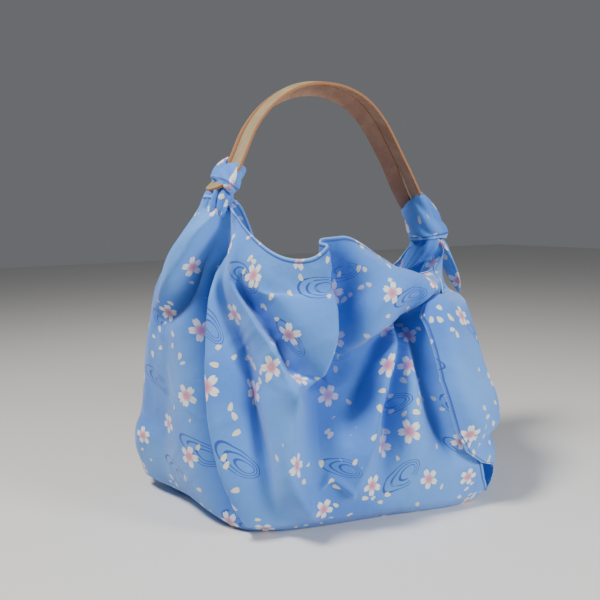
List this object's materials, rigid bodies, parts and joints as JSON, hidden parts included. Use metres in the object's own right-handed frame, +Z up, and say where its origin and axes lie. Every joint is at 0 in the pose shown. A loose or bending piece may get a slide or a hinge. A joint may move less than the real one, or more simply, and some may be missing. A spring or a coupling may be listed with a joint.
{
  "type": "furoshiki wrap bag",
  "caption": "Square printed cotton cloth draped as an open bag, its corners tied in a knot at each end round a flat leather ring that arches over the mouth as a handle",
  "frame": {"origin": "on the surface that the bag stands on, under the middle of its filled body", "axes": "+Z up, the bag's front faces -Y, and its lower knot, with the free tail, is at +X"},
  "size_m": [0.402, 0.2937, 0.4376],
  "materials": {
    "printed_cotton": "matte",
    "leather": "satin"
  },
  "bodies": {
    "root": {"cloth": "printed_cotton", "handle": "leather"}
  },
  "joints": []
}
